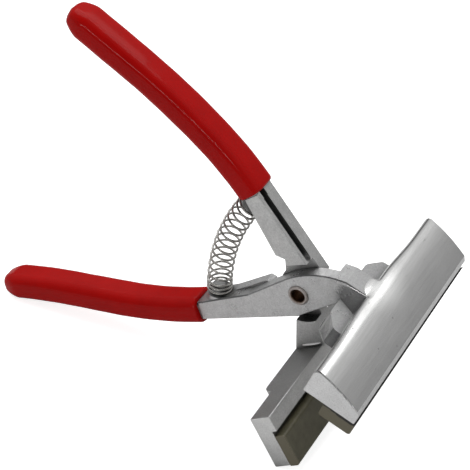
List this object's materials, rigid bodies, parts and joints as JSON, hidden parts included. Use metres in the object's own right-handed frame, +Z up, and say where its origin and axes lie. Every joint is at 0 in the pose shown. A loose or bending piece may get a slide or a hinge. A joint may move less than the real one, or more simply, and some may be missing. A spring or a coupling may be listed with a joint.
{
  "type": "canvas stretching pliers",
  "caption": "Wide-jawed canvas stretching pliers: crossed cast levers on a hollow rivet, rubber-faced jaws, dipped grips and a coil spring that opens them.",
  "frame": {"origin": "centre of the hollow rivet, on the hinge axis at the middle of the levers' thickness", "axes": "+Y along the hinge axis, away from the side seen in the picture; +X forward towards the jaws, level; +Z up, with the open tool lying on its lower jaw and its lower grip"},
  "size_m": [0.214, 0.12, 0.1687],
  "materials": {
    "upper_casting": "plated casting, polished jaw cover and satin sides",
    "lower_casting": "plated casting, satin with cast skin",
    "pad_rubber": "matt olive rubber",
    "grip_vinyl": "glossy dipped vinyl",
    "rivet_steel": "plated tube with a brown bore",
    "spring_wire": "drawn spring wire"
  },
  "bodies": {
    "upper_lever": {"upper_jaw_lever": "upper_casting", "upper_jaw_pad": "pad_rubber", "lower_handle_grip": "grip_vinyl", "pivot_rivet": "rivet_steel", "return_spring": "spring_wire"},
    "lower_lever": {"lower_jaw_lever": "lower_casting", "lower_jaw_pad": "pad_rubber", "upper_handle_grip": "grip_vinyl"}
  },
  "joints": [
    {"name": "jaw_hinge", "type": "hinge", "parent": "upper_lever", "child": "lower_lever", "pos_m": [0, 0, 0], "axis": [0, -1, 0], "range_deg": [0, 37.4], "stiffness_Nm_per_rad": 2, "springref_deg": -8.59, "deforming": ["return_spring"]}
  ]
}
